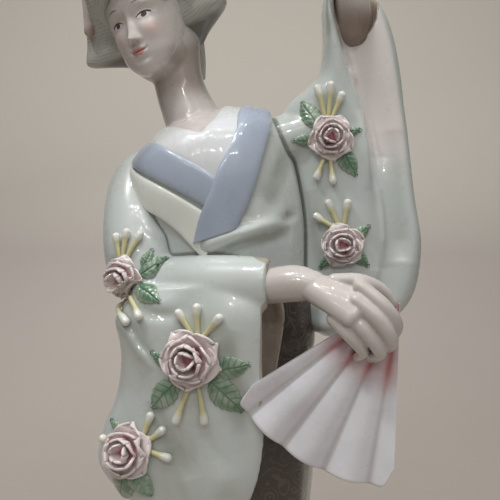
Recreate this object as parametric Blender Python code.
"""A glazed porcelain figurine of a geisha dancing with a fan, fired as one piece.

All sizes are in millimetres and are turned into metres as each mesh is made.
The figure faces -Y. The origin is the middle of its flat underside.
"""

import math

import bmesh
import bpy
import numpy as np
from mathutils import Matrix, Vector
from mathutils.bvhtree import BVHTree

MM = 0.001

# Body and kimono
SHOULDER_HEIGHT = 248.0
SHOULDER_SPREAD = 74.0
SHOULDER_LIFT_DEG = 18.0
BODY_WIDTH = 75.0
BODY_DEPTH = 63.0
HEM_WIDTH = 96.0
HEM_DEPTH = 86.0
HEM_FOLD_DEPTH = 2.4
HEM_FOLDS = 8
OBI_HEIGHT = 34.0
OBI_THICKNESS = 2.4
SASH_WIDTH = 44.0
SASH_LENGTH = 84.0
SASH_THICKNESS = 2.2
BOW_WIDTH = 46.0
BOW_HEIGHT = 42.0
BOW_DEPTH = 17.0
BOW_TAIL_LENGTH = 48.0
VENT_RADIUS = 4.5
VENT_DEPTH = 8.0
VENT_SETBACK = 18.0
COLLAR_WIDTH = 11.5
COLLAR_THICKNESS = 3.0

# Head and hair
NECK_LENGTH = 30.0
NECK_RADIUS = 11.3
HEAD_HEIGHT = 45.0
HEAD_WIDTH = 34.0
HEAD_TURN_DEG = 24.0
HEAD_TILT_DEG = 17.0
HEAD_NOD_DEG = 5.0
HAIR_SPAN = 76.0
TOPKNOT_LENGTH = 28.0

# Arms, sleeves and fan
UPPER_ARM = 60.0
FOREARM = 70.5
ARM_RADIUS = 6.0
FINGER_RADIUS = 2.7
SLEEVE_RADIUS = 15.0
CUFF_RADIUS = 12.0
RIGHT_SLEEVE_DROP = 100.0
LEFT_SLEEVE_DROP = 103.0
LEFT_SLEEVE_RISE = 57.0
LEFT_SLEEVE_WIDTH = 52.0
LEFT_SLEEVE_DEPTH = 22.0
FAN_RADIUS = 75.5
FAN_SPREAD_DEG = 56.0
FAN_PLEATS = 4
FAN_PLEAT_DEPTH = 1.4
FAN_THICKNESS = 2.4

# Applied flowers
ROSE_RADIUS = 10.0
LEAF_LENGTH = 10.0
STAMEN_LENGTH = 10.0
STAMEN_RADIUS = 1.1

MOST_TRIANGLES = 11500

FRONT = Vector((0, -1, 0))
UP = Vector((0, 0, 1))


# Curves and skins


def catmull_rom(points, count, closed=False):
    """Rows spaced evenly along a smooth curve through the given rows, whatever they hold."""
    p = np.asarray(points, float)
    spans = len(p) if closed else len(p) - 1
    steps = count if closed else count - 1
    out = []
    for i in range(count):
        t = spans * i / steps
        k = min(int(t), spans - 1)
        f = t - k
        if closed:
            a, b, c, d = (p[(k + j) % len(p)] for j in (-1, 0, 1, 2))
        else:
            a, b, c, d = p[max(k - 1, 0)], p[k], p[k + 1], p[min(k + 2, len(p) - 1)]
        out.append(
            0.5 * (2 * b + (c - a) * f + (2 * a - 5 * b + 4 * c - d) * f**2 + (3 * b - a - 3 * c + d) * f**3)
        )
    return np.array(out)


def add_mesh(name, points, faces):
    """A mesh object in metres, with its faces turned outwards."""
    mesh = bpy.data.meshes.new(name)
    mesh.from_pydata([tuple(np.asarray(p, float) * MM) for p in points], [], faces)
    made = bmesh.new()
    made.from_mesh(mesh)
    bmesh.ops.recalc_face_normals(made, faces=made.faces)
    bmesh.ops.triangulate(made, faces=made.faces)
    made.to_mesh(mesh)
    made.free()
    obj = bpy.data.objects.new(name, mesh)
    bpy.context.scene.collection.objects.link(obj)
    return obj


def skin(name, rings):
    """A closed solid over rings that hold the same number of points, with flat ends."""
    rings = np.asarray(rings, float)
    count, around = rings.shape[:2]
    faces = [
        (i * around + j, i * around + (j + 1) % around, (i + 1) * around + (j + 1) % around, (i + 1) * around + j)
        for i in range(count - 1)
        for j in range(around)
    ]
    faces.append(tuple(range(around)))
    faces.append(tuple((count - 1) * around + j for j in range(around)))
    return add_mesh(name, rings.reshape(-1, 3), faces)


def loft(name, rows, around, along):
    """A smooth solid through rows of control points that each go once round the shape."""
    rounded = [catmull_rom(row, around, closed=True) for row in rows]
    rings = catmull_rom(np.array(rounded).reshape(len(rows), -1), along)
    return skin(name, rings.reshape(along, around, 3))


def ellipse(centre, side, depth, count):
    """Points round an ellipse given by its two half axes."""
    angles = (math.tau * j / count for j in range(count))
    return [Vector(centre) + Vector(side) * math.cos(a) + Vector(depth) * math.sin(a) for a in angles]


def tube(name, path, radii, up=UP, sides=10, along=8, round_ends=True):
    """A limb along a smooth path. Each row of radii is (sideways, towards up)."""
    rows = [(*p, *(r if hasattr(r, "__len__") else (r, r))) for p, r in zip(path, radii)]
    spine = catmull_rom(rows, along)
    centres = [Vector(row[:3]) for row in spine]
    sizes = [tuple(row[3:]) for row in spine]
    tangents = [
        (centres[min(i + 1, along - 1)] - centres[max(i - 1, 0)]).normalized() for i in range(along)
    ]
    stations = list(zip(centres, tangents, sizes))
    if round_ends:
        first, last = stations[0], stations[-1]
        for share in (0.6, 0.92):
            shrink = math.sqrt(1 - share**2)
            for end, sign in ((first, -1), (last, 1)):
                centre, tangent, size = end
                cap = (
                    centre + tangent * sign * share * min(size),
                    tangent,
                    (size[0] * shrink, size[1] * shrink),
                )
                if sign < 0:
                    stations.insert(0, cap)
                else:
                    stations.append(cap)
    rings = []
    for centre, tangent, size in stations:
        side = tangent.cross(Vector(up)).normalized()
        rise = side.cross(tangent).normalized()
        rings.append(ellipse(centre, side * size[0], rise * size[1], sides))
    return skin(name, [[tuple(p) for p in ring] for ring in rings])


def ellipsoid(name, centre, half, turn=None, segments=8, rings=5):
    """A ball stretched to three half sizes and turned by a rotation matrix."""
    made = bmesh.new()
    bmesh.ops.create_uvsphere(made, u_segments=segments, v_segments=rings, radius=1)
    turn = (turn or Matrix.Identity(3)).to_3x3()
    points = [Vector(centre) + turn @ Vector(a * b for a, b in zip(v.co, half)) for v in made.verts]
    faces = [tuple(v.index for v in f.verts) for f in made.faces]
    made.free()
    return add_mesh(name, points, faces)


def pillow(name, centre, half, power=0.55, segments=12, rings=6):
    """A box with full, rounded sides: the lower the power, the squarer it is."""

    def rounded(value):
        return math.copysign(abs(value) ** power, value)

    rows = []
    for i in range(rings + 1):
        rise = -0.97 * math.pi / 2 + 0.97 * math.pi * i / rings
        row = []
        for j in range(segments):
            turn = math.tau * j / segments
            unit = (
                rounded(math.cos(rise)) * rounded(math.cos(turn)),
                rounded(math.cos(rise)) * rounded(math.sin(turn)),
                rounded(math.sin(rise)),
            )
            row.append([c + h * u for c, h, u in zip(centre, half, unit)])
        rows.append(row)
    return skin(name, rows)


# Landmarks of the pose

SHOULDER_MIDDLE = Vector((-8, 4, SHOULDER_HEIGHT))
SHOULDER_LIFT = math.radians(SHOULDER_LIFT_DEG)
ACROSS = Vector((math.cos(SHOULDER_LIFT), 0, math.sin(SHOULDER_LIFT)))
RIGHT_SHOULDER = SHOULDER_MIDDLE - ACROSS * SHOULDER_SPREAD / 2
LEFT_SHOULDER = SHOULDER_MIDDLE + ACROSS * SHOULDER_SPREAD / 2
RIGHT_ELBOW = RIGHT_SHOULDER + Vector((0.26, -0.30, -0.92)).normalized() * UPPER_ARM
RIGHT_WRIST = RIGHT_ELBOW + Vector((0.90, -0.43, 0.04)).normalized() * FOREARM
CUFF = RIGHT_ELBOW.lerp(RIGHT_WRIST, 0.76)
LEFT_WRIST = LEFT_SHOULDER + Vector((0.52 * LEFT_SLEEVE_WIDTH, -LEFT_SLEEVE_DEPTH / 2, LEFT_SLEEVE_RISE - 1))
NECK_BASE = SHOULDER_MIDDLE + Vector((-4, 1, 4))
NECK_TOP = NECK_BASE + Vector((-0.38, 0.0, 0.92)).normalized() * NECK_LENGTH
HEAD_TURN = (
    Matrix.Rotation(-math.radians(HEAD_TILT_DEG), 3, "Y")
    @ Matrix.Rotation(-math.radians(HEAD_TURN_DEG), 3, "Z")
    @ Matrix.Rotation(math.radians(HEAD_NOD_DEG), 3, "X")
)
HEAD_CENTRE = NECK_TOP + Vector((-10, -3, 0.44 * HEAD_HEIGHT))
FAN_PIVOT = RIGHT_WRIST + Vector((33, -3, -3))


def in_head(x, y, z):
    """A point given in the head's own axes, with the face towards -y."""
    return HEAD_CENTRE + HEAD_TURN @ Vector((x, y, z))


# Kimono, obi and sleeves

# Height share of the shoulders, middle x and y, share of the width, share of the depth, share of the shoulder tilt
BODY_ROWS = (
    (0.00, 0.0, 3.0, 0.0, 1.00, 0.0),
    (0.03, 0.0, 3.0, 0.0, 0.95, 0.0),
    (0.12, 0.5, 4.0, 0.0, 0.42, 0.0),
    (0.28, 2.0, 5.0, 0.96, 0.0, 0.0),
    (0.46, 3.5, 5.0, 1.00, 0.0, 0.1),
    (0.60, 3.5, 5.0, 0.97, 0.0, 0.2),
    (0.73, 3.4, 5.0, 0.93, 0.0, 0.35),
    (0.83, 1.8, 4.5, 0.96, 0.0, 0.6),
    (0.92, -4.0, 4.0, 1.00, 0.0, 0.9),
    (0.985, -8.0, 4.0, 0.92, 0.0, 1.0),
    (1.015, -10.0, 4.0, 0.66, 0.0, 1.0),
    (1.035, -12.0, 4.0, 0.42, 0.0, 1.0),
)


def body_point(row, angle, grow=0.0):
    """A point of the kimono. Low rows go from the hem's size to the body's, with folds."""
    height, x, y, body_share, hem_share, tilt = row
    if body_share:
        half_width, half_depth = BODY_WIDTH / 2 * body_share, BODY_DEPTH / 2 * body_share
    else:
        half_width = BODY_WIDTH / 2 * (1 - hem_share) + HEM_WIDTH / 2 * hem_share
        half_depth = BODY_DEPTH / 2 * (1 - hem_share) + HEM_DEPTH / 2 * hem_share
    lift = SHOULDER_LIFT * tilt
    centre = Vector((x, y, height * SHOULDER_HEIGHT))
    side = Vector((math.cos(lift), 0, math.sin(lift)))
    fold = HEM_FOLD_DEPTH * (0.35 * body_share * (height < 0.5) + hem_share) * math.cos(HEM_FOLDS * angle + 2 * height)
    out = grow + fold
    return centre + side * (half_width + out) * math.cos(angle) + Vector((0, half_depth + out, 0)) * math.sin(angle)


def body_ring(row, around, grow=0.0):
    return [body_point(row, math.tau * j / around, grow) for j in range(around)]


def kimono_body(name, around=34, along=15, grow=0.0, rows=BODY_ROWS):
    rings = [body_ring(row, around, grow) for row in rows]
    smooth = catmull_rom(np.array(rings).reshape(len(rings), -1), along)
    return skin(name, smooth.reshape(along, around, 3))


def body_level(share):
    """The body row at any height share, read from the table as a smooth curve."""
    heights = [row[0] for row in BODY_ROWS]
    above = next(i for i, h in enumerate(heights) if h >= share)
    part = (share - heights[above - 1]) / (heights[above] - heights[above - 1])
    low, high = BODY_ROWS[above - 1], BODY_ROWS[above]
    return tuple(a + (b - a) * part for a, b in zip(low, high))


# Height share at which the obi starts
OBI_LOW = 0.61


def obi(name):
    """The broad sash, standing a little proud of the kimono all round."""
    low, high = OBI_LOW, OBI_LOW + OBI_HEIGHT / SHOULDER_HEIGHT
    rows = []
    for share, grow in ((low, -0.6), (low + 0.02, 1.0), (high - 0.02, 1.0), (high, -0.6)):
        rows.append(body_ring(body_level(share), 34, OBI_THICKNESS * grow))
    return skin(name, rows)


# Middle of the hanging sash, as an angle round the body from its left side
SASH_MIDDLE = math.radians(-55)


def sash_end(name, across=6, levels=7):
    """The end of the sash, which hangs from the obi down the left of the front."""
    half = SASH_WIDTH / (BODY_WIDTH + BODY_DEPTH) * 2
    top = OBI_LOW + 0.02
    rings = []
    for step in range(levels):
        row = body_level(top - SASH_LENGTH / SHOULDER_HEIGHT * step / (levels - 1))
        angles = [SASH_MIDDLE + half * (2 * j / (across - 1) - 1) for j in range(across)]
        outer = [body_point(row, angle, SASH_THICKNESS) for angle in angles]
        inner = [body_point(row, angle, -1.5) for angle in reversed(angles)]
        rings.append(outer + inner)
    return skin(name, rings)


def bow(name):
    """The drum bow on the back, with its tail hanging under it."""
    back = BODY_ROWS[6][2] + BODY_DEPTH / 2 * BODY_ROWS[6][3]
    middle = 0.72 * SHOULDER_HEIGHT
    drum = pillow(
        name,
        (2, back + BOW_DEPTH * 0.28, middle),
        (BOW_WIDTH / 2, BOW_DEPTH / 2, BOW_HEIGHT / 2),
    )
    tail = pillow(
        name + "_tail",
        (3, back + 1.0, middle - BOW_HEIGHT / 2 - BOW_TAIL_LENGTH * 0.2),
        (BOW_WIDTH * 0.36, 5.5, BOW_TAIL_LENGTH / 2),
    )
    return [drum, tail]


def waist_fold(name):
    """The cloth that pouches over the obi across the front."""
    top = OBI_LOW * SHOULDER_HEIGHT + OBI_HEIGHT
    path = [(-14, -22, top + 9), (2, -25.5, top + 10), (20, -23, top + 16), (34, -11, top + 24)]
    return tube(name, path, [(3, 4), (4.5, 5.5), (5, 6), (3.5, 4.5)], sides=7, along=6)


def right_upper_sleeve(name):
    path = [
        RIGHT_SHOULDER + Vector((12, 3, 2)),
        RIGHT_SHOULDER + Vector((5, 1, -8)),
        RIGHT_SHOULDER.lerp(RIGHT_ELBOW, 0.45) + Vector((-2, 2, 0)),
        RIGHT_SHOULDER.lerp(RIGHT_ELBOW, 0.8) + Vector((-4, 2, 0)),
        RIGHT_ELBOW + Vector((0, 0, -2)),
    ]
    radii = [SLEEVE_RADIUS * k for k in (0.6, 0.85, 1.0, 1.05, 0.85)]
    return tube(name, path, radii, up=(1, 0, 0), sides=16, along=8)


def right_forearm_sleeve(name):
    path = [
        RIGHT_ELBOW + Vector((-6, 5, 0)),
        RIGHT_ELBOW.lerp(CUFF, 0.4),
        RIGHT_ELBOW.lerp(CUFF, 0.8),
        CUFF,
    ]
    radii = [(CUFF_RADIUS * a, CUFF_RADIUS * b) for a, b in ((0.9, 1.1), (1.0, 1.15), (0.9, 1.05), (0.8, 0.95))]
    return tube(name, path, radii, sides=16, along=7, round_ends=False)


# Share of the drop, left edge from the elbow, right edge from the cuff, front from the cuff, depth, how far the
# front lip of the opening stands forward of the front, and how far the back lip stands right of the front one
DRAPE_ROWS = (
    (0.00, -8, -5, 2, 16, 8, 8),
    (0.12, -15, -4, 0, 21, 8, 9.5),
    (0.30, -14, -4, 0, 23, 6, 7),
    (0.45, -16, -3.5, 1, 24, 4.5, 3.5),
    (0.60, -22, -4, 2, 25, 3, 1),
    (0.75, -24, -6, 3, 25, 2, 0),
    (0.88, -14, -10, 5, 23, 1, 0),
    (0.96, -2, -15, 8, 18, 0, 0),
    (1.00, 9, -22, 12, 10, 0, 0),
)
DRAPE_FOLDS = 3
DRAPE_FOLD_DEPTH = 1.6


def right_drape(name, around=30, along=12):
    """The long sleeve hanging from the forearm, open along its right edge."""
    rows = []
    top = RIGHT_ELBOW.z + 2
    for share, left, right, front, depth, forward, gap in DRAPE_ROWS:
        z = top - share * RIGHT_SLEEVE_DROP
        x0, x1 = RIGHT_ELBOW.x + left, CUFF.x + right
        y0 = CUFF.y + front
        front_lip = y0 - forward + 1
        back_lip = front_lip + 1.9 * gap + 0.3 * depth * (1 - gap / 10)
        width = x1 - x0
        crease = DRAPE_FOLD_DEPTH * math.sin(math.tau * DRAPE_FOLDS * share / 2)
        rows.append(
            [
                (x1, front_lip, z),
                (x0 + 0.78 * width, y0 - 0.6 - 0.6 * forward - crease, z),
                (x0 + 0.50 * width, y0 - 0.2 * forward + crease, z),
                (x0 + 0.22 * width, y0 + 3 - crease, z),
                (x0 + 0.03 * width, y0 + 0.42 * depth, z),
                (x0 + 0.02 * width, y0 + 0.85 * depth, z),
                (x0 + 0.25 * width, y0 + depth + 5, z),
                (x0 + 0.72 * width, y0 + depth, z),
                (x1 + 0.4 * gap, y0 + 0.8 * depth, z),
                (x1 + gap, back_lip, z),
                (x1 - 0.35 * gap, (front_lip + back_lip) / 2, z),
            ]
        )
    return loft(name, rows, around, along)


# Height share (-1 bottom, 0 shoulder, 1 top), left edge, right edge and lip as shares of the width, how hollow
LEFT_SLEEVE_ROWS = (
    (-0.97, 0.34, 0.58, 0.40, 0.0),
    (-0.93, 0.20, 0.84, 0.50, 0.05),
    (-0.86, 0.15, 1.02, 0.60, 0.1),
    (-0.78, 0.12, 1.12, 0.68, 0.1),
    (-0.67, 0.12, 1.17, 0.74, 0.12),
    (-0.54, 0.12, 1.18, 0.76, 0.2),
    (-0.38, 0.10, 1.13, 0.74, 0.35),
    (-0.20, 0.04, 1.09, 0.69, 0.6),
    (-0.07, -0.04, 1.06, 0.64, 0.75),
    (0.07, 0.04, 1.03, 0.59, 0.8),
    (0.28, 0.28, 1.00, 0.51, 0.85),
    (0.52, 0.33, 0.95, 0.44, 0.9),
    (0.74, 0.32, 0.87, 0.38, 0.9),
    (0.88, 0.34, 0.77, 0.38, 0.7),
    (1.00, 0.40, 0.66, 0.44, 0.4),
)


def left_sleeve(name, around=24, along=17):
    """The sleeve of the raised arm: its open side faces the front, so its pale inside shows as a long hollow."""
    rows = []
    half = LEFT_SLEEVE_DEPTH / 2
    for share, left, right, lip, open_share in LEFT_SLEEVE_ROWS:
        z = LEFT_SHOULDER.z + share * (LEFT_SLEEVE_DROP if share < 0 else LEFT_SLEEVE_RISE)
        x0, x1, xl = (LEFT_SHOULDER.x + LEFT_SLEEVE_WIDTH * k for k in (left, right, lip))
        y = LEFT_SHOULDER.y - 3 - 4 * max(share, 0)
        full = min(1.0, (x1 - x0) / (0.5 * LEFT_SLEEVE_WIDTH))
        hollow = open_share * full
        rows.append(
            [
                (x1, y - 0.25 * half * full, z),
                (x1 - 0.05 * (x1 - x0), y + 0.55 * half * full, z),
                (x0 + 0.55 * (x1 - x0), y + half * full, z),
                (x0 + 0.12 * (x1 - x0), y + 0.75 * half * full, z),
                (x0, y, z),
                (x0 + 0.35 * (xl - x0), y - 0.95 * half * full, z),
                (xl, y - half * full, z),
                (xl + 0.22 * (x1 - xl), y - (1 - hollow) * half * full, z),
                (xl + 0.75 * (x1 - xl), y - (0.95 - 0.4 * hollow) * half * full, z),
            ]
        )
    return loft(name, rows, around, along)


def left_shoulder_cloth(name):
    """The shoulder and upper arm inside the raised sleeve."""
    width, rise = LEFT_SLEEVE_WIDTH, LEFT_SLEEVE_RISE
    path = [
        SHOULDER_MIDDLE.lerp(LEFT_SHOULDER, 0.45) + Vector((0, 0, -13)),
        LEFT_SHOULDER + Vector((-0.04 * width, 0, -13)),
        LEFT_SHOULDER + Vector((0.27 * width, -2, -6)),
        LEFT_SHOULDER + Vector((0.46 * width, -3, 0.25 * rise)),
    ]
    return tube(name, path, [(12, 11), (12, 13), (11, 13), (9, 10)], up=(0, 1, 0), sides=14, along=7)


# Collars


def snapped(surface, points, lift):
    """Points moved onto the cloth and then off it by a distance, each with the surface's direction."""
    out = []
    for p in points:
        place, normal, _, _ = surface.find_nearest(Vector(p) * MM)
        out.append((place / MM + normal * lift, normal))
    return out


def band(name, surface, points, widths, thickness, lift, along=11, sides=6):
    """A flat strip of cloth that lies on a surface along a path."""
    rows = catmull_rom([(*p, w) for p, w in zip(points, widths)], along)
    laid = snapped(surface, [row[:3] for row in rows], lift)
    rings = []
    for i, (place, normal) in enumerate(laid):
        tangent = (laid[min(i + 1, along - 1)][0] - laid[max(i - 1, 0)][0]).normalized()
        side = tangent.cross(normal).normalized()
        out = side.cross(tangent).normalized()
        half = rows[i][3] / 2
        profile = []
        for j in range(sides):
            angle = math.tau * (j + 0.5) / sides
            across = math.copysign(abs(math.cos(angle)) ** 0.5, math.cos(angle))
            rise = math.copysign(abs(math.sin(angle)) ** 0.7, math.sin(angle))
            profile.append(tuple(place + side * half * across + out * thickness / 2 * rise))
        rings.append(profile)
    return skin(name, rings)


# Each collar's path from the middle of the shoulders, starting at the nape, its widths as shares of the collar's,
# and how proud it stands
COLLARS = {
    "white_collar_left": (
        ((-5, 19, 7), (5, 18, 11), (10, 11, 14), (11.5, 0, 14.5), (10.5, -16, 9), (8.5, -26, 1), (5, -30, -9), (0, -31, -20)),
        (0.9, 0.95, 1.0, 1.05, 1.0, 0.9, 0.75, 0.5),
        0.3,
    ),
    "white_collar_right": (
        ((-3, 19, 7), (-13, 18, 5), (-19, 12, 5), (-21, -2, 3), (-17, -17, 0), (-9, -26, -5.5), (-1, -30, -13)),
        (0.9, 0.95, 1.0, 1.0, 0.95, 0.9, 0.6),
        0.9,
    ),
    "kimono_edge_right": (
        ((-40, -4, -14), (-33, -15, -21), (-22, -21, -27), (-11, -26, -35.5), (-3, -27, -44)),
        (0.7, 0.9, 0.9, 0.9, 0.8),
        0.6,
    ),
    "blue_collar_right": (
        ((-2, 26, 1), (-16, 25, -2), (-26, 18, -2), (-31, 6, -2), (-30, -8, -6), (-24, -19, -12), (-9, -29, -21), (0, -30, -29)),
        (1.0, 1.0, 1.0, 1.0, 1.0, 0.95, 0.9, 0.8),
        1.5,
    ),
    "blue_collar_left": (
        ((-6, 26, 1), (8, 25, 6), (18, 18, 13), (22, 4, 15), (22.5, -10, 11), (17.5, -26, -4), (9, -31, -22), (4, -30, -35), (0, -28, -43)),
        (1.0, 1.0, 1.0, 1.0, 1.0, 1.15, 1.4, 1.35, 1.0),
        2.2,
    ),
}


def collars(surface):
    """The white under-collar, the blue collar over it and the kimono's own edge, crossed left over right."""
    made = []
    for name, (path, widths, lift) in COLLARS.items():
        points = [SHOULDER_MIDDLE + Vector(p) for p in path]
        made.append(band(name, surface, points, [COLLAR_WIDTH * w for w in widths], COLLAR_THICKNESS, lift))
    return made


# Head and hair

# Height share from the middle (chin -1, crown 1), front y, back y, share of the half width
HEAD_ROWS = (
    (-1.00, -14.5, -8.5, 0.22),
    (-0.90, -17.0, -3.0, 0.44),
    (-0.70, -18.0, 3.0, 0.69),
    (-0.48, -18.2, 9.0, 0.83),
    (-0.22, -18.3, 15.0, 0.93),
    (0.02, -17.8, 18.0, 0.99),
    (0.24, -18.4, 19.5, 1.00),
    (0.50, -17.8, 19.5, 0.98),
    (0.72, -15.0, 17.5, 0.86),
    (0.90, -9.0, 13.0, 0.60),
    (1.00, -1.0, 5.0, 0.20),
)


def head(name, around=16, along=11):
    rows = []
    for share, front, back, wide in HEAD_ROWS:
        half = HEAD_WIDTH / 2 * wide
        middle, depth = (front + back) / 2, (back - front) / 2
        row = []
        for j in range(12):
            angle = math.tau * j / 12
            x, y = half * math.cos(angle), middle + depth * math.sin(angle)
            row.append(tuple(in_head(x, y, share * HEAD_HEIGHT / 2)))
        rows.append(row)
    return loft(name, rows, around, along)


def face_features():
    """A calm, plain face: nose, lips and closed brow line kept small."""
    low = HEAD_HEIGHT / 2
    nose = [in_head(0, -17.3, 0.12 * low), in_head(0, -18.8, -0.12 * low), in_head(0, -20.2, -0.30 * low)]
    mouth = [in_head(-3.2, -17.6, -0.53 * low), in_head(0, -18.7, -0.53 * low), in_head(3.2, -17.6, -0.53 * low)]
    face_up = HEAD_TURN @ UP
    return [
        tube("nose", nose, [(1.2, 1.0), (1.5, 1.4), (2.0, 1.5)], up=HEAD_TURN @ Vector((0, -1, 0)), sides=6, along=3, round_ends=False),
        tube("lips", mouth, [0.6, 1.3, 0.6], up=face_up, sides=6, along=3, round_ends=False),
    ]


# Height share, half width share of the hair, front y, back y
HAIR_ROWS = (
    (-0.80, 0.26, 11.0, 16.0),
    (-0.66, 0.42, 10.0, 18.0),
    (-0.48, 0.58, 8.0, 19.5),
    (-0.34, 0.80, 5.0, 20.5),
    (-0.25, 0.96, 2.5, 20.5),
    (-0.12, 1.00, 1.5, 21.0),
    (0.20, 0.95, 0.0, 21.5),
    (0.50, 0.885, -6.0, 21.5),
    (0.80, 0.80, -12.0, 20.5),
    (1.05, 0.71, -15.0, 19.0),
    (1.25, 0.59, -14.0, 17.0),
    (1.40, 0.41, -9.0, 13.0),
    (1.46, 0.17, -3.0, 7.0),
)
# How far forward the wings sweep at their tips, which fades out towards the crown
HAIR_SWEEP = 10.0
# The pin's drop hangs over the front of the right wing, in the head's own axes
PIN_DROP = ((-21.9, -7.0, 25.4), (-25.5, -4.8, 17.0), (-29.0, -3.0, 9.0))


def hair():
    """The dressed hair: wide side wings, a front roll, a nape lobe and a knot on the crown."""
    low = HEAD_HEIGHT / 2
    rows = []
    for share, wide, front, back in HAIR_ROWS:
        half = HAIR_SPAN / 2 * wide
        middle, depth = (front + back) / 2, (back - front) / 2
        fade = min(1, max(0, share / 0.9))
        fullness = 0.85 + 0.15 * fade
        row = []
        for j in range(16):
            angle = math.tau * j / 16
            x = half * math.copysign(abs(math.cos(angle)) ** fullness, math.cos(angle))
            y = middle + depth * math.copysign(abs(math.sin(angle)) ** fullness, math.sin(angle))
            row.append(tuple(in_head(x, y - HAIR_SWEEP * (1 - fade) * (x / (HAIR_SPAN / 2)) ** 2, share * low)))
        rows.append(row)
    made = [loft("hair_wings", rows, 26, 16)]
    roll = [in_head(x, y, z * low) for x, y, z in ((-14.5, -8, 0.3), (-12, -14, 0.62), (0, -18.6, 0.86), (12, -14, 0.62), (14.5, -8, 0.3))]
    made.append(tube("hair_front_roll", roll, [2.5, 4.0, 5.0, 4.0, 2.5], up=HEAD_TURN @ UP, sides=8, along=9))
    lock = [in_head(14.5, 13, -0.5 * low), in_head(13, 13, -0.9 * low), in_head(11.2, 12, -1.25 * low)]
    made.append(tube("hair_nape_lock", lock, [(3, 3), (2.2, 2.2), (1.4, 1.4)], up=FRONT, sides=6, along=4))
    knot = [in_head(0, TOPKNOT_LENGTH * share, height * low) for share, height in ((-0.1, 1.3), (0.15, 1.42), (0.45, 1.38), (0.7, 1.05))]
    made.append(tube("hair_topknot", knot, [(6, 4), (9, 5.5), (10, 6), (8, 4.5)], up=HEAD_TURN @ UP, sides=10, along=6))
    made.append(ellipsoid("hair_band", in_head(0, TOPKNOT_LENGTH * 0.2, 1.42 * low), (10.5, 2.2, 7.2), HEAD_TURN, 12, 6))
    drop = [in_head(x, y, z) for x, y, z in PIN_DROP]
    made.append(tube("hair_pin_drop", drop, [2.0, 2.2, 2.4], up=HEAD_TURN @ FRONT, sides=6, along=4))
    return made


def neck(name):
    path = [
        NECK_BASE + Vector((3, 1, -12)),
        NECK_BASE + Vector((0, 0, 0)),
        NECK_BASE.lerp(NECK_TOP, 0.6),
        NECK_TOP + Vector((2, 0, 0)),
        HEAD_CENTRE + Vector((11, 6, -6)),
    ]
    radii = [NECK_RADIUS * k for k in (1.6, 1.22, 1.02, 1.0, 1.05)]
    throat = ellipsoid(name + "_throat", HEAD_CENTRE + Vector((6.5, 0, -15.5)), (1.13 * NECK_RADIUS, 12, 11), None, 14, 8)
    return [tube(name, path, radii, up=FRONT, sides=14, along=7), throat]


# Hands and fan


def hand(prefix, arm_path, arm_radii, palm_path, palm_radii, palm_up, fingers):
    """An arm, a palm and its fingers, each finger given as a path and a thickness share."""
    made = [
        tube(prefix + "_arm", arm_path, arm_radii, sides=12, along=4, round_ends=False),
        tube(prefix + "_palm", palm_path, palm_radii, up=palm_up, sides=11, along=5),
    ]
    for i, (path, thick) in enumerate(fingers):
        radii = [FINGER_RADIUS * thick * k for k in (1.1, 1.1, 0.95, 0.8)[: len(path)]]
        made.append(tube(f"{prefix}_finger_{i}", path, radii, up=(0.3, -0.8, 0.5), sides=6, along=6))
    return made


def right_hand():
    w = RIGHT_WRIST
    fingers = [
        (((17, -9, 0), (25, -12, -7), (30, -10, -14), (29, -4, -20)), 1.0),
        (((15, -11, -5), (23, -13, -12), (28, -11, -20), (26, -3, -24)), 1.05),
        (((11, -10, -9), (18, -12, -16), (24, -10, -24), (22, -3, -27)), 1.0),
        (((7, -8, -12), (13, -10, -18), (18, -8, -24), (17, -2, -27)), 0.9),
        (((8, -4, 2), (17, -6, 2), (25, -5, -1), (30, -4, -6)), 1.0),
    ]
    return hand(
        "right",
        [CUFF + Vector((-12, 2, 0)), CUFF.lerp(w, 0.5) + Vector((0, 0, 1)), w],
        [ARM_RADIUS * 1.1, ARM_RADIUS, ARM_RADIUS * 0.85],
        [w - Vector((3, -1, 0)), w + Vector((7, -5, -3)), w + Vector((16, -9, -7))],
        [(ARM_RADIUS * 0.8, 5.0), (8.0, 5.0), (9.6, 4.2)],
        (0.25, -0.8, 0.45),
        [([w + Vector(p) for p in path], thick) for path, thick in fingers],
    )


def left_hand():
    w = LEFT_WRIST
    fingers = [
        (((-15, -7, 11), (-24, -10, 14), (-33, -12, 14), (-39, -13, 11)), 0.9),
        (((-16, -4, 12), (-26, -6, 16), (-36, -8, 16), (-43, -9, 13)), 0.95),
        (((-16, -1, 12), (-26, -1, 15), (-35, -2, 15), (-41, -3, 12)), 0.9),
        (((-14, 2, 11), (-22, 3, 13), (-30, 3, 13), (-35, 3, 10)), 0.8),
        (((-4, -6, 5), (-11, -11, 6), (-18, -14, 5), (-23, -15, 3)), 0.95),
    ]
    return hand(
        "left",
        [w + Vector((3, 8, -25)), w + Vector((3, 5, -16)), w + Vector((1, 1, -6)), w],
        [ARM_RADIUS * 1.2, ARM_RADIUS * 1.15, ARM_RADIUS * 1.0, ARM_RADIUS * 0.9],
        [w - Vector((-1, 0, 2)), w + Vector((-6, -2, 7)), w + Vector((-15, -3, 11))],
        [(ARM_RADIUS * 0.8, 4.5), (7.5, 4.5), (8.6, 3.6)],
        (-0.4, 0.1, 0.9),
        [([w + Vector(p) for p in path], thick) for path, thick in fingers],
    )


FAN_FIRST_RIB = Vector((-0.835, 0.12, -0.53)).normalized()
FAN_LAST_RIB = Vector((-0.06, 0.08, -0.99)).normalized()


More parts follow.
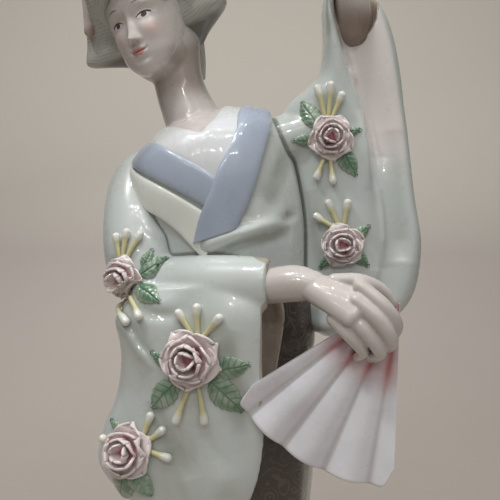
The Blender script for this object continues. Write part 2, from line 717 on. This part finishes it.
def fan(name, around=31, along=3):
    """The half-open fan: soft pleats that run out from the pivot and deepen towards the rim."""
    normal = FAN_FIRST_RIB.cross(FAN_LAST_RIB).normalized()
    if normal.y > 0:
        normal = -normal
    turn = math.radians(FAN_SPREAD_DEG)
    across = (FAN_LAST_RIB - FAN_FIRST_RIB * FAN_FIRST_RIB.dot(FAN_LAST_RIB)).normalized()
    rings = []
    for i in range(along):
        reach = FAN_RADIUS * (0.05 + 0.95 * i / (along - 1))
        depth = FAN_PLEAT_DEPTH * (reach / FAN_RADIUS)
        sides = {1: [], -1: []}
        for j in range(around):
            share = j / (around - 1)
            angle = turn * share
            rib = FAN_FIRST_RIB * math.cos(angle) + across * math.sin(angle)
            wave = math.cos(math.tau * FAN_PLEATS * share)
            scallop = 1 + 0.006 * wave * i / (along - 1)
            for face in (1, -1):
                place = FAN_PIVOT + rib * reach * scallop + normal * (depth * wave + face * FAN_THICKNESS / 2)
                sides[face].append(tuple(place))
        rings.append(sides[1] + sides[-1][::-1])
    return skin(name, rings)


# Applied flowers


def standing(normal, up):
    """Axes with z along the normal and y as near to the given up direction as it allows."""
    z = Vector(normal).normalized()
    x = Vector(up).cross(z).normalized()
    y = z.cross(x)
    return Matrix((x, y, z)).transposed()


# Reach and height as shares of the rose's radius, and how far its petals stand out from the circle
ROSE_ROWS = ((0.80, -0.35, 0.06), (1.00, 0.05, 0.12), (0.94, 0.30, 0.10), (0.55, 0.34, 0.05), (0.42, 0.62, 0.02), (0.16, 0.72, 0.0))
ROSE_PETALS = 5


def rose(name, centre, turn, radius, around=15):
    rings = []
    for reach, rise, lobe in ROSE_ROWS:
        ring = []
        for j in range(around):
            angle = math.tau * j / around
            out = radius * (reach + lobe * math.cos(ROSE_PETALS * angle))
            ring.append(tuple(centre + turn @ Vector((out * math.cos(angle), out * math.sin(angle), rise * radius))))
        rings.append(ring)
    return skin(name, rings)


def leaf(name, centre, turn, angle, length):
    spin = turn @ Matrix.Rotation(angle, 3, "Z")
    place = centre + spin @ Vector((0, length * 0.5, 0))
    return ellipsoid(name, place, (length * 0.27, length * 0.52, 1.4), spin, 6, 3)


def stamen(name, centre, turn, angle, length):
    spin = turn @ Matrix.Rotation(angle, 3, "Z")
    path = [centre + spin @ Vector(p) for p in ((0, 0, 0), (0, length * 0.5, 0.3), (0, length, 0.7))]
    return tube(name, path, [STAMEN_RADIUS * k for k in (0.8, 0.9, 1.6)], up=turn @ UP, sides=5, along=3, round_ends=False)


def flower(name, surface, start, aim, size=1.0, stamens=(-35, 0, 35, 165, 195), leaves=(-100, 100, -70)):
    """A rose with stamens and leaves, laid where a line from start along aim meets the cloth."""
    place, normal, _, _ = surface.ray_cast(Vector(start) * MM, Vector(aim).normalized())
    if place is None:
        place, normal, _, _ = surface.find_nearest(Vector(start) * MM)
    centre = place / MM
    turn = standing(normal, UP)
    made = [rose(name, centre, turn, ROSE_RADIUS * size)]
    for i, degrees in enumerate(stamens):
        root = centre + turn @ (Matrix.Rotation(math.radians(degrees), 3, "Z") @ Vector((0, ROSE_RADIUS * size * 0.7, 0)))
        near, direction, _, _ = surface.find_nearest(root * MM)
        made.append(stamen(f"{name}_stamen_{i}", near / MM, standing(direction, turn @ Vector((0, 1, 0))), math.radians(degrees), STAMEN_LENGTH * size))
    for i, degrees in enumerate(leaves):
        root = centre + turn @ (Matrix.Rotation(math.radians(degrees), 3, "Z") @ Vector((0, ROSE_RADIUS * size * 0.75, 0)))
        near, direction, _, _ = surface.find_nearest(root * MM)
        made.append(leaf(f"{name}_leaf_{i}", near / MM, standing(direction, turn @ Vector((0, 1, 0))), math.radians(degrees), LEAF_LENGTH * size))
    return made


def flowers(surface):
    elbow, shoulder = RIGHT_ELBOW, LEFT_SHOULDER
    drop = RIGHT_SLEEVE_DROP
    made = []
    made += flower("drape_rose", surface, elbow + Vector((14, -90, -0.27 * drop)), (0, 1, 0), 1.2, leaves=(-95, 95, 125, -125))
    made += flower("elbow_rose", surface, elbow + Vector((-28, -60, 8)), (0.35, 1, 0), 0.95, stamens=(-20, 15, 50, 165, 195), leaves=(-75, -110))
    made += flower("low_drape_rose", surface, elbow + Vector((-24, -80, -0.63 * drop)), (0.2, 1, 0), 0.95, stamens=(-30, -62, -95), leaves=(170, 135, 60))
    made += flower("upper_sleeve_rose", surface, shoulder + Vector((20, -80, -15)), (0, 1, 0), 0.9, stamens=(-25, 5, 30, 170, 195), leaves=(75, 115, -85))
    made += flower("lower_sleeve_rose", surface, shoulder + Vector((24, -80, -60)), (0, 1, 0), 0.9, stamens=(-25, 5, 35), leaves=(-65, -115, 95))
    return made


# Fusing


def fused(target, pieces, operation="UNION"):
    """Joins pieces to the target, or cuts them from it, and leaves one clean mesh."""
    group = bpy.data.collections.new(f"{target.name}_{operation.lower()}")
    bpy.context.scene.collection.children.link(group)
    for piece in pieces:
        bpy.context.scene.collection.objects.unlink(piece)
        group.objects.link(piece)
    boolean = target.modifiers.new("fuse", "BOOLEAN")
    boolean.operand_type = "COLLECTION"
    boolean.collection = group
    boolean.operation = operation
    boolean.solver = "EXACT"
    bpy.context.view_layer.update()
    mesh = bpy.data.meshes.new_from_object(target.evaluated_get(bpy.context.evaluated_depsgraph_get()))
    target.modifiers.clear()
    target.data = mesh
    for piece in pieces:
        bpy.data.objects.remove(piece)
    bpy.data.collections.remove(group)
    return target


def thinned(target, most):
    """Merges the smallest facets that fusing leaves, down to a number of triangles."""
    target.data.calc_loop_triangles()
    count = len(target.data.loop_triangles)
    if count > most:
        thin = target.modifiers.new("thin", "DECIMATE")
        thin.ratio = most / count
        thin.use_collapse_triangulate = True
        bpy.context.view_layer.update()
        mesh = bpy.data.meshes.new_from_object(target.evaluated_get(bpy.context.evaluated_depsgraph_get()))
        target.modifiers.clear()
        target.data = mesh
    return target


def without_pockets(target):
    """Drops the tiny closed pockets that stay between bands which lie on each other."""
    made = bmesh.new()
    made.from_mesh(target.data)
    shells, seen = [], set()
    for face in made.faces:
        if face in seen:
            continue
        shell, waiting = [], [face]
        seen.add(face)
        while waiting:
            current = waiting.pop()
            shell.append(current)
            for edge in current.edges:
                for near in edge.link_faces:
                    if near not in seen:
                        seen.add(near)
                        waiting.append(near)
        shells.append(shell)
    shells.sort(key=len)
    for shell in shells[:-1]:
        bmesh.ops.delete(made, geom=shell, context="FACES")
    made.to_mesh(target.data)
    made.free()
    return target


def surface_of(objects):
    points, faces = [], []
    for obj in objects:
        start = len(points)
        points += [v.co.copy() for v in obj.data.vertices]
        faces += [[start + i for i in f.vertices] for f in obj.data.polygons]
    return BVHTree.FromPolygons(points, faces)


def vent(name):
    """The firing vent in the underside, behind the middle. It is blind here: the body is modelled solid."""
    path = [(0, VENT_SETBACK, -3), (0, VENT_SETBACK, VENT_DEPTH)]
    return tube(name, path, [VENT_RADIUS, VENT_RADIUS], up=FRONT, sides=16, along=2, round_ends=False)


def glaze(name, colour, roughness):
    material = bpy.data.materials.new(name)
    material.use_nodes = True
    shader = material.node_tree.nodes["Principled BSDF"]
    shader.inputs["Base Color"].default_value = (*colour, 1)
    shader.inputs["Roughness"].default_value = roughness
    return material


def main():
    for obj in list(bpy.data.objects):
        bpy.data.objects.remove(obj)
    figure = kimono_body("geisha_figurine")
    cloth = [
        right_upper_sleeve("right_upper_sleeve"),
        right_forearm_sleeve("right_forearm_sleeve"),
        right_drape("right_drape"),
        left_sleeve("left_sleeve"),
        left_shoulder_cloth("left_shoulder_cloth"),
    ]
    smooth_body = kimono_body("smooth_body", 64, 40)
    body_surface = surface_of([smooth_body])
    bpy.data.objects.remove(smooth_body)
    cloth_surface = surface_of([figure, *cloth])
    cloth += [obi("obi"), sash_end("sash_end"), waist_fold("waist_fold"), *bow("obi_bow"), *collars(body_surface)]
    fused(figure, cloth)
    left_mouth = LEFT_WRIST + Vector((2, -2, -10))
    along_arm = (CUFF - RIGHT_ELBOW).to_track_quat("Z", "Y").to_matrix()
    cuts = [
        ellipsoid("right_mouth", CUFF, (CUFF_RADIUS * 0.78, CUFF_RADIUS * 0.72, 8), along_arm, 14, 8),
        ellipsoid("left_mouth", left_mouth, (LEFT_SLEEVE_WIDTH * 0.19, 8, 11), None, 14, 8),
        vent("vent"),
    ]
    fused(figure, cuts, "DIFFERENCE")
    body = [*neck("neck"), head("head"), *face_features(), *hair(), *right_hand(), *left_hand(), fan("fan")]
    fused(figure, body + flowers(cloth_surface))
    thinned(without_pockets(figure), MOST_TRIANGLES)
    figure.data.materials.clear()
    figure.data.materials.append(glaze("celadon_glaze", (0.62, 0.68, 0.62), 0.12))


main()
